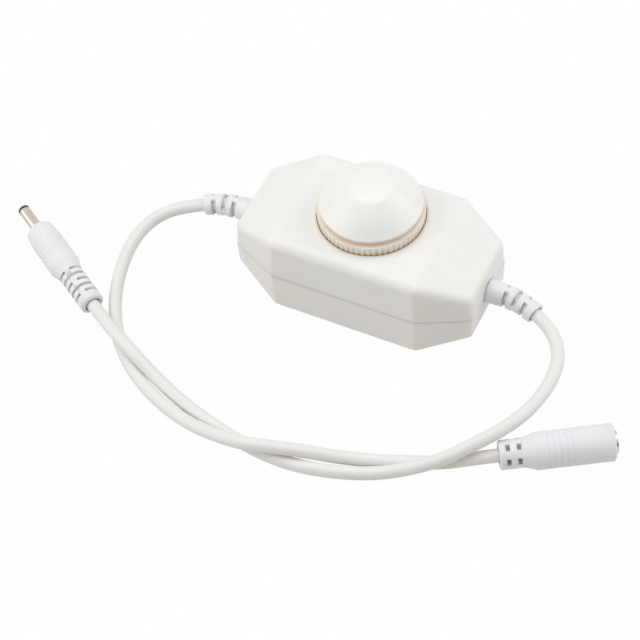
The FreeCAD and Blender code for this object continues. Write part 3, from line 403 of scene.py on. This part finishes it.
@dataclass
class TurningKnob:
    """The domed knob, with the shaft and the wiper that turn with it.

    The crown and the dome are arcs of the solid's outline, with the dome's centre given by its
    distance from the axis and its height.
    """

    axis_y_mm: float = 2.3
    top_mm: float = 41.2
    cap_bottom_mm: float = 39.2
    cap_edge_mm: float = 0.1
    crown_radius_mm: float = 48.25
    dome_radius_mm: float = 30.0
    dome_centre_mm: tuple[float, float] = (-8.59, 14.699)
    dome_spread: float = 1.03
    ledge_z_mm: float = 31.5
    rim_mm: float = 15.2
    groove_limit_mm: float = 14.6
    groove_share: float = 0.55
    skirt_spread: float = 1.034

    def build(self) -> None:
        """Make the knob, a little wider than the solid so that its gap is as thin as it looks."""
        piece = merged_copy("knob", "domed_knob", flat_faces=True)
        shape = bmesh.new()
        shape.from_mesh(piece.data)
        self.crisp_cap(shape)
        self.soften_grooves(shape)
        self.spread(shape)
        shape.to_mesh(piece.data)
        shape.free()
        fit_out(piece, KNOB_ABS, Body.KNOB, "knob")

    def crisp_cap(self, shape: bmesh.types.BMesh) -> None:
        """Bring the cap's edge out to a narrow rounding, where its crown and the dome meet.

        Args:
            shape: the knob's mesh, not yet spread.
        """
        crown_z = self.top_mm - self.crown_radius_mm
        dome_out, dome_z = self.dome_centre_mm
        for vert in shape.verts:
            x, y, z = vert.co / MM
            if z < self.cap_bottom_mm:
                continue
            out = math.hypot(x, y - self.axis_y_mm)
            crown = crown_z + math.sqrt(self.crown_radius_mm ** 2 - out ** 2)
            dome = dome_z + math.sqrt(self.dome_radius_mm ** 2 - (out - dome_out) ** 2)
            # The lower of the two arcs, rounded where they cross
            share = min(max(0.5 + (dome - crown) / (2 * self.cap_edge_mm), 0.0), 1.0)
            rounding = self.cap_edge_mm * share * (1 - share)
            vert.co.z = MM * (dome + (crown - dome) * share - rounding)

    def soften_grooves(self, shape: bmesh.types.BMesh) -> None:
        """Make the skirt's grooves shallower, because their moulded edges are rounded.

        Args:
            shape: the knob's mesh, not yet spread.
        """
        for vert in shape.verts:
            x, y, z = vert.co / MM
            out = math.hypot(x, y - self.axis_y_mm)
            if z < self.ledge_z_mm and out > self.groove_limit_mm:
                wider = (self.rim_mm - (self.rim_mm - out) * self.groove_share) / out
                vert.co.x = x * wider * MM
                vert.co.y = (self.axis_y_mm + (y - self.axis_y_mm) * wider) * MM

    def spread(self, shape: bmesh.types.BMesh) -> None:
        """Widen the skirt and the dome about the axis.

        Args:
            shape: the knob's mesh.
        """
        to_axis = Matrix.Translation((0, -self.axis_y_mm * MM, 0))
        skirt = [vert for vert in shape.verts if vert.co.z < self.ledge_z_mm * MM]
        dome = [vert for vert in shape.verts if vert.co.z >= self.ledge_z_mm * MM]
        for verts, share in ((skirt, self.skirt_spread), (dome, self.dome_spread)):
            bmesh.ops.scale(shape, verts=verts, vec=(share, share, 1), space=to_axis)

    def dress(self) -> None:
        """Give the shaft and the wiper their finishes."""
        dress_node("pot_shaft", SHAFT_ALLOY)
        dress_node("pot_wiper", PAPER_BOARD)


@dataclass
class StrainReliefs:
    """The slotted boots where the leads leave the case."""

    boots: dict[str, str] = field(default_factory=lambda: {
        "relief_plug_side": "relief_boot_plug", "relief_jack_side": "relief_boot_jack"})

    def build(self) -> None:
        """Make both boots."""
        for node, name in self.boots.items():
            fit_out(merged_copy(node, name), SOFT_PVC, Body.CASE, node)


@dataclass
class LeadEnd:
    """What a lead ends in: a soft moulding round metal and dark plastic."""

    contact: str
    rows: tuple[tuple[str, str, Finish, Slot], ...]
    pieces: list[bpy.types.Object] = field(default_factory=list)

    def build(self) -> None:
        """Make the pieces that show."""
        for node, name, finish, slot in self.rows:
            self.pieces.append(fit_out(merged_copy(node, name), finish, Body.CASE, node))

    def dress(self) -> None:
        """Give the inner contact its finish."""
        self.pieces.append(dress_node(self.contact, NICKEL))


@dataclass
class BarrelPlug(LeadEnd):
    """The plug at the end of one lead: its body, the barrel and the tip."""

    contact: str = "plug_contact"
    rows: tuple[tuple[str, str, Finish, Slot], ...] = (
        ("plug_body", "plug_moulding", SOFT_PVC, Slot.SOFT_VINYL),
        ("plug_barrel", "plug_tube", NICKEL, Slot.NICKEL),
        ("plug_insulator", "plug_tip", BLACK_PBT, Slot.DARK_INSULATOR))


@dataclass
class InlineJack(LeadEnd):
    """The jack at the end of the other lead: its body, the sleeve and the insert."""

    contact: str = "jack_pin"
    rows: tuple[tuple[str, str, Finish, Slot], ...] = (
        ("jack_body", "jack_moulding", SOFT_PVC, Slot.SOFT_VINYL),
        ("jack_sleeve", "jack_ring", NICKEL, Slot.NICKEL),
        ("jack_insert", "jack_socket", BLACK_PBT, Slot.DARK_INSULATOR))


@dataclass
class Lead:
    """A free two-core lead from a strain relief to its connector."""

    name: str
    node: str
    far_end: str
    length_mm: float
    route_mm: list[Point]
    radius_mm: float = 1.95
    round_steps: int = 8
    run_steps: int = 10
    order: int = 3

    def build(self, end_pieces: list[bpy.types.Object]) -> None:
        """Args:
            end_pieces: the pieces of the plug or the jack on its end; not used.
        """
        curve = bpy.data.curves.new(self.name, "CURVE")
        curve.dimensions = "3D"
        curve.bevel_depth = self.radius_mm * MM
        curve.bevel_resolution = self.round_steps
        curve.resolution_u = self.run_steps
        curve.use_fill_caps = True
        spline = curve.splines.new("NURBS")
        spline.points.add(len(self.route_mm) - 1)
        for point, place in zip(spline.points, self.route_mm):
            point.co = (*(value * MM for value in place), 1.0)
        spline.order_u = self.order
        spline.use_endpoint_u = True
        piece = bpy.data.objects.new(self.name, curve)
        bpy.context.scene.collection.objects.link(piece)
        fit_out(piece, LEAD_PVC, Body.CASE, self.node)


JACK_LEAD = Lead("lead_to_jack", "jack_lead", "connector", 190.5, [
    (-51.931, -1.881, 13.463), (-56.371, -3.547, 12.721), (-62.3, -7.0, 11.6),
    (-66.0, -11.4, 10.5), (-68.2, -17.2, 9.2), (-68.6, -24.6, 7.3), (-67.3, -32.8, 4.8),
    (-64.5, -40.4, 2.5), (-60.0, -47.4, 1.95), (-54.3, -54.0, 1.95), (-46.4, -60.2, 1.95),
    (-36.8, -65.2, 1.95), (-26.0, -68.7, 2.3), (-16.0, -70.9, 4.8), (-7.5, -71.4, 6.3),
    (2.5, -68.8, 6.3), (10.8, -65.6, 4.7), (19.0, -62.4, 2.4), (28.0, -59.4, 1.95),
    (37.5, -55.8, 1.95), (46.5, -52.4, 2.2), (54.884, -49.335, 5.35), (60.682, -45.782, 5.35)])
PLUG_LEAD = Lead("lead_to_plug", "plug_lead", "plug", 192.4, [
    (51.931, -1.881, 13.463), (56.371, -3.547, 12.721), (61.2, -7.4, 11.8),
    (63.9, -12.2, 11.2), (65.0, -18.0, 10.7), (64.6, -25.0, 10.3), (62.6, -33.5, 10.2),
    (58.4, -41.7, 10.2), (53.0, -48.8, 9.6), (47.2, -54.5, 7.3), (39.6, -58.9, 4.3),
    (30.4, -63.2, 1.95), (20.5, -67.0, 1.95), (9.8, -69.5, 1.95), (-1.0, -69.7, 1.95),
    (-11.5, -68.0, 1.95), (-22.5, -65.2, 1.95), (-32.5, -61.9, 1.95), (-42.0, -58.1, 3.0),
    (-50.5, -54.9, 6.3), (-58.0, -51.0, 6.3), (-64.868, -46.468, 4.7), (-70.571, -42.764, 4.7)])


@dataclass(frozen=True)
class SoftLamp:
    """A square soft box that looks at the middle of the object, in metres and watts."""

    name: str
    place: Point
    side: float
    watts: float

    def build(self) -> None:
        """Add the lamp to the scene."""
        light = bpy.data.lights.new(self.name, "AREA")
        light.shape = "SQUARE"
        light.size = self.side
        light.energy = self.watts
        lamp = bpy.data.objects.new(self.name, light)
        lamp.location = self.place
        lamp.rotation_mode = "QUATERNION"
        lamp.rotation_quaternion = (-Vector(self.place)).to_track_quat("-Z", "Y")
        bpy.context.scene.collection.objects.link(lamp)


def seen_rays(tree: bpy.types.NodeTree) -> bpy.types.NodeSocket:
    """Pick out the rays that show the background: the camera's, reflected and passed ones.

    Args:
        tree: node tree of the floor or the world.

    Returns:
        Socket that is 1 for those rays.
    """
    path = add_node(tree, "ShaderNodeLightPath")
    direct = add_node(tree, "ShaderNodeMath", {
        0: path.outputs["Is Camera Ray"], 1: path.outputs["Is Glossy Ray"]}, operation="MAXIMUM")
    seen = add_node(tree, "ShaderNodeMath", {
        0: direct.outputs[0], 1: path.outputs["Is Transmission Ray"]}, operation="MAXIMUM")
    return seen.outputs[0]


def add_sheet(name: str, side: float, place: Matrix,
              material: bpy.types.Material) -> bpy.types.Object:
    """Add a flat square of the studio.

    Args:
        name: the sheet's name.
        side: its side in metres.
        place: where it lies and how it is turned.
        material: its material.

    Returns:
        The sheet.
    """
    shape = bmesh.new()
    bmesh.ops.create_grid(shape, x_segments=1, y_segments=1, size=side / 2, matrix=place)
    mesh = bpy.data.meshes.new(name)
    shape.to_mesh(mesh)
    shape.free()
    mesh.materials.append(material)
    sheet = bpy.data.objects.new(name, mesh)
    bpy.context.scene.collection.objects.link(sheet)
    return sheet


@dataclass
class Studio:
    """Pale floor, grey card, soft light and the camera; lengths are in metres where not in mm."""

    target_mm: Point = (-7.9, -19.025, 0.0)
    distance_mm: float = 726.35
    azimuth_deg: float = 29.0
    elevation_deg: float = 51.9
    roll_deg: float = -4.64
    focal_px: float = 2485.4
    clip: tuple[float, float] = (0.05, 20.0)
    floor_side: float = 6.0
    floor_colour: str = "#E4DFD8"
    white_share: float = 0.975
    sky: float = 0.43
    card_side: float = 1.0
    card_distance: float = 1.1
    lamps: tuple[SoftLamp, ...] = (
        SoftLamp("top_box", (-0.12, 0.1, 0.95), 0.8, 3.5),
        SoftLamp("left_box", (-0.6, -0.42, 0.42), 0.7, 2.2),
        SoftLamp("right_box", (0.63, 0.35, 0.42), 0.7, 2.2))

    def build(self) -> None:
        """Set the floor, the card, the light and the camera."""
        self.lay_floor()
        self.stand_card()
        self.set_sky()
        for lamp in self.lamps:
            lamp.build()
        self.set_camera()
        bpy.context.scene.view_settings.view_transform = "Standard"

    def lay_floor(self) -> None:
        """Lay a floor that looks white and keeps a soft shadow."""
        material = bpy.data.materials.new("painted_floor")
        material.use_nodes = True
        tree = material.node_tree
        tree.nodes.clear()
        paint = add_node(tree, "ShaderNodeBsdfDiffuse", {"Color": linear(self.floor_colour)})
        white = add_node(tree, "ShaderNodeEmission", {"Color": WHITE, "Strength": 1.0})
        share = add_node(tree, "ShaderNodeMath", {0: seen_rays(tree), 1: self.white_share},
                         operation="MULTIPLY")
        mixed = add_node(tree, "ShaderNodeMixShader", {
            0: share.outputs[0], 1: paint.outputs[0], 2: white.outputs[0]})
        add_node(tree, "ShaderNodeOutputMaterial", {"Surface": mixed.outputs[0]})
        add_sheet("studio_floor", self.floor_side, Matrix(), material)

    def stand_card(self) -> None:
        """Stand a card behind the camera, which shades the walls that face it."""
        turn = Matrix.Rotation(math.radians(self.azimuth_deg), 4, "Z")
        shift = Matrix.Translation((0, -self.card_distance, self.card_side / 2))
        upright = Matrix.Rotation(math.radians(90), 4, "X")
        card = add_sheet("studio_flag", self.card_side, turn @ shift @ upright,
                         GREY_CARD.material())
        card.visible_camera = False

    def set_sky(self) -> None:
        """Light the scene evenly, with a white background where it is seen."""
        world = bpy.data.worlds.new("studio_sky")
        world.use_nodes = True
        bpy.context.scene.world = world
        tree = world.node_tree
        tree.nodes.clear()
        strength = add_node(tree, "ShaderNodeMapRange", {
            "Value": seen_rays(tree), "To Min": self.sky, "To Max": 1.0})
        sky = add_node(tree, "ShaderNodeBackground", {
            "Color": WHITE, "Strength": strength.outputs[0]})
        add_node(tree, "ShaderNodeOutputWorld", {"Surface": sky.outputs[0]})

    def set_camera(self) -> None:
        """Stand the camera where the photograph was taken from."""
        azimuth, elevation, roll = (
            math.radians(angle) for angle in (self.azimuth_deg, self.elevation_deg, self.roll_deg))
        right = Vector((math.cos(azimuth), math.sin(azimuth), 0.0))
        ahead = Vector((-math.sin(azimuth), math.cos(azimuth), 0.0))
        back = Vector((0.0, 0.0, math.sin(elevation))) - ahead * math.cos(elevation)
        up = back.cross(right)
        across = right * math.cos(roll) + up * math.sin(roll)
        upright = up * math.cos(roll) - right * math.sin(roll)
        data = bpy.data.cameras.new("photo_camera")
        data.sensor_width = SENSOR_MM
        data.lens = self.focal_px * SENSOR_MM / IMAGE_PX
        data.clip_start, data.clip_end = self.clip
        camera = bpy.data.objects.new("photo_camera", data)
        place = (Vector(self.target_mm) + back * self.distance_mm) * MM
        turn = Matrix((across, upright, back)).transposed()
        camera.matrix_world = Matrix.Translation(place) @ turn.to_4x4()
        bpy.context.scene.collection.objects.link(camera)
        bpy.context.scene.camera = camera


def main() -> None:
    """Build and dress every sub-assembly, then the studio."""
    logging.basicConfig(level=logging.INFO, format="%(name)s: %(message)s")
    case, knob, reliefs = FacetedCase(), TurningKnob(), StrainReliefs()
    plug, jack = BarrelPlug(), InlineJack()
    for part in (case, knob, reliefs, plug, jack):
        part.build()
    for part in (case, knob, plug, jack):
        part.dress()
    JACK_LEAD.build(jack.pieces)
    PLUG_LEAD.build(plug.pieces)
    Studio().build()


if __name__ == "__main__":
    main()
